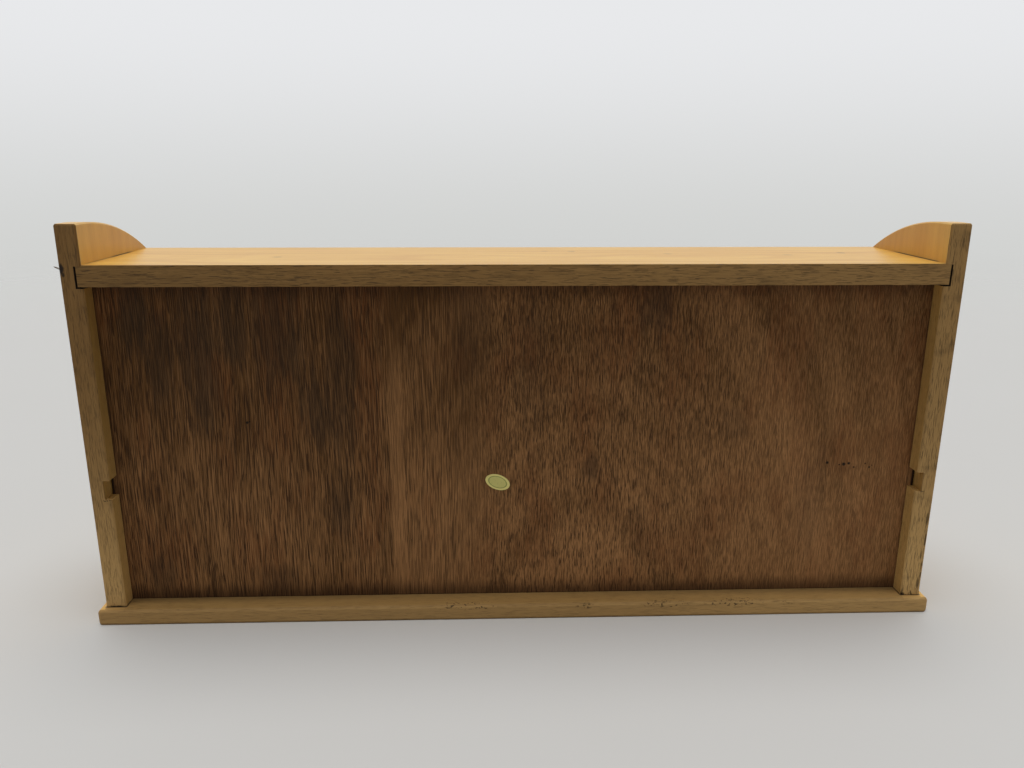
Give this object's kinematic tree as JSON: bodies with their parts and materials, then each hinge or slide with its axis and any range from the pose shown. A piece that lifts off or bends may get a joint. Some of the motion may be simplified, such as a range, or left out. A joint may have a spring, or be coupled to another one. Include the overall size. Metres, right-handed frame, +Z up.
{
  "type": "cassette storage cabinet",
  "caption": "Low wooden tabletop cabinet: an open shelf for standing cassettes above a row of small knobbed drawers, with rounded ears at the ends of its top.",
  "frame": {"origin": "middle of the base board's underside", "axes": "+X to the right seen from the front, along the length; +Y to the back; +Z up"},
  "size_m": [0.5166, 0.1175, 0.2415],
  "materials": {
    "varnished_wood": "golden varnish, bare at the rear edges",
    "bare_wood": "unfinished, sanded",
    "plywood": "unfinished dark reddish veneer",
    "knob_wood": "golden varnish",
    "brass_screw": "dull",
    "steel_brads": "dull, slightly rusted"
  },
  "bodies": {
    "cabinet": {"side_left": "varnished_wood", "side_right": "varnished_wood", "top_board": "varnished_wood", "middle_shelf": "varnished_wood", "base_board": "varnished_wood", "back_panel": "plywood", "upper_partition_left": "varnished_wood", "upper_partition_right": "varnished_wood", "lower_partition_left": "varnished_wood", "lower_partition_right": "varnished_wood", "side_brads": "steel_brads", "base_brads": "steel_brads"},
    "drawer_left": {"drawer_left_front": "varnished_wood", "drawer_left_side_left": "bare_wood", "drawer_left_side_right": "bare_wood", "drawer_left_back": "bare_wood", "drawer_left_bottom": "plywood", "drawer_left_knob": "knob_wood", "drawer_left_knob_screw": "brass_screw", "drawer_left_brads": "steel_brads"},
    "drawer_middle": {"drawer_middle_front": "varnished_wood", "drawer_middle_side_left": "bare_wood", "drawer_middle_side_right": "bare_wood", "drawer_middle_back": "bare_wood", "drawer_middle_bottom": "plywood", "drawer_middle_knob": "knob_wood", "drawer_middle_knob_screw": "brass_screw", "drawer_middle_brads": "steel_brads"},
    "drawer_right": {"drawer_right_front": "varnished_wood", "drawer_right_side_left": "bare_wood", "drawer_right_side_right": "bare_wood", "drawer_right_back": "bare_wood", "drawer_right_bottom": "plywood", "drawer_right_knob": "knob_wood", "drawer_right_knob_screw": "brass_screw", "drawer_right_brads": "steel_brads"}
  },
  "joints": [
    {"name": "drawer_left_slide", "type": "slide", "parent": "cabinet", "child": "drawer_left", "axis": [0, -1, 0], "range_m": [0, 0.06]},
    {"name": "drawer_middle_slide", "type": "slide", "parent": "cabinet", "child": "drawer_middle", "axis": [0, -1, 0], "range_m": [0, 0.06]},
    {"name": "drawer_right_slide", "type": "slide", "parent": "cabinet", "child": "drawer_right", "axis": [0, -1, 0], "range_m": [0, 0.06]}
  ]
}
